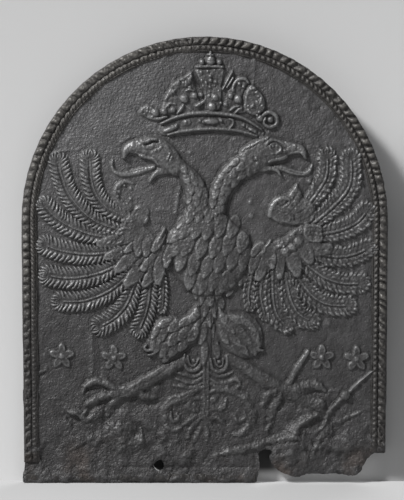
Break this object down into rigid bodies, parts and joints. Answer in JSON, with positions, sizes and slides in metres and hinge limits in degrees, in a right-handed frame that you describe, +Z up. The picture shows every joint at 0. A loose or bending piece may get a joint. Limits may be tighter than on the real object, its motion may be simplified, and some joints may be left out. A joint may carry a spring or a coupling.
{
  "type": "fireback",
  "caption": "Arched cast-iron fireback with a crowned double-headed eagle in relief, a cable and bead border, rosettes and a burnt, broken lower edge.",
  "frame": {"origin": "middle of the plate's thickness and width, on the underside of its foot, where it stands on the hearth", "axes": "+Z up the plate, +Y out of its flat back towards the chimney wall, -Y the way its relief faces, +X to the right seen from the front"},
  "size_m": [0.55, 0.028, 0.67],
  "materials": {
    "plate_iron": "matt, blackened, with a sand-cast grain",
    "moulding_iron": "satin on the crests, brown in the hollows",
    "relief_iron": "satin where handling has rubbed the relief bright"
  },
  "bodies": {
    "root": {"breast": "relief_iron", "crown_arch": "relief_iron", "crown_band": "relief_iron", "crown_left_cap": "relief_iron", "crown_left_fleuron": "relief_iron", "crown_orb_and_cross": "relief_iron", "crown_right_cap": "relief_iron", "crown_right_scroll": "relief_iron", "foot_moulding": "moulding_iron", "left_bead_row": "moulding_iron", "left_cable": "moulding_iron", "left_feather_1": "relief_iron", "left_feather_2": "relief_iron", "left_feather_3": "relief_iron", "left_feather_4": "relief_iron", "left_feather_5": "relief_iron", "left_feather_6": "relief_iron", "left_feather_7": "relief_iron", "left_feather_8": "relief_iron", "left_feather_9": "relief_iron", "left_fillet": "moulding_iron", "left_head": "relief_iron", "left_leg": "relief_iron", "left_neck": "relief_iron", "left_thigh": "relief_iron", "left_tongue": "relief_iron", "left_wing_coverts": "relief_iron", "left_wing_plume": "relief_iron", "orb": "relief_iron", "plate": "plate_iron", "right_bead_row": "moulding_iron", "right_cable": "moulding_iron", "right_feather_1": "relief_iron", "right_feather_10": "relief_iron", "right_feather_2": "relief_iron", "right_feather_3": "relief_iron", "right_feather_4": "relief_iron", "right_feather_5": "relief_iron", "right_feather_6": "relief_iron", "right_feather_7": "relief_iron", "right_feather_8": "relief_iron", "right_feather_9": "relief_iron", "right_fillet": "moulding_iron", "right_head": "relief_iron", "right_leg": "relief_iron", "right_neck": "relief_iron", "right_thigh": "relief_iron", "right_tongue": "relief_iron", "right_wing_coverts": "relief_iron", "right_wing_plume": "relief_iron", "rosette_1": "relief_iron", "rosette_2": "relief_iron", "rosette_3": "relief_iron", "rosette_4": "relief_iron", "sceptre": "relief_iron", "sword": "relief_iron", "tail_left_volute": "relief_iron", "tail_right_volute": "relief_iron", "tail_stem": "relief_iron"}
  },
  "joints": []
}
